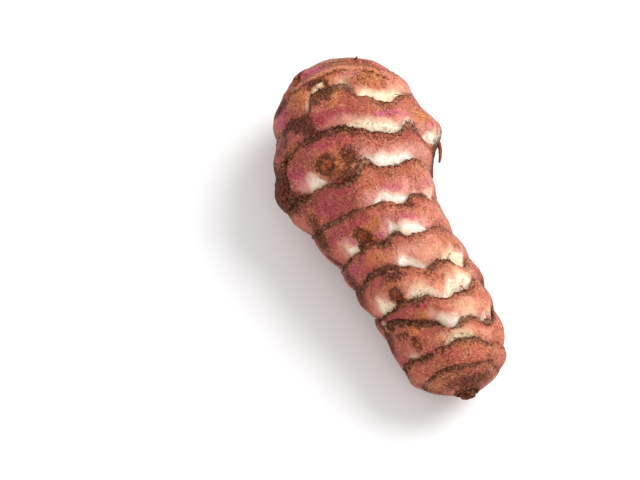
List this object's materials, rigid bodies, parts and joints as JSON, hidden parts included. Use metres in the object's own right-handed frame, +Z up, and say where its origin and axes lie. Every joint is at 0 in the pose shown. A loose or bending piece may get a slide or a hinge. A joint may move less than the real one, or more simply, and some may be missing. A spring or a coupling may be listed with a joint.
{
  "type": "jerusalem artichoke",
  "caption": "Knobbly club-shaped edible tuber with a fat growing end, a slimmer stolon end, ragged leaf-scar rings and small eyes, lying on its side",
  "frame": {"origin": "on the surface it lies on, under the middle of its bounding box", "axes": "+X from the stolon end to the growing tip, +Z up; at rest on its side, as it settles on a table"},
  "size_m": [0.1102, 0.0542, 0.0426],
  "materials": {
    "skin": "satin russet-pink skin with tan flecks, cream and white bare bands beyond the rings, and dark brown papery scale remains along their edges; wood stands in for plant tissue"
  },
  "bodies": {
    "root": {"tuber": "skin"}
  },
  "joints": []
}
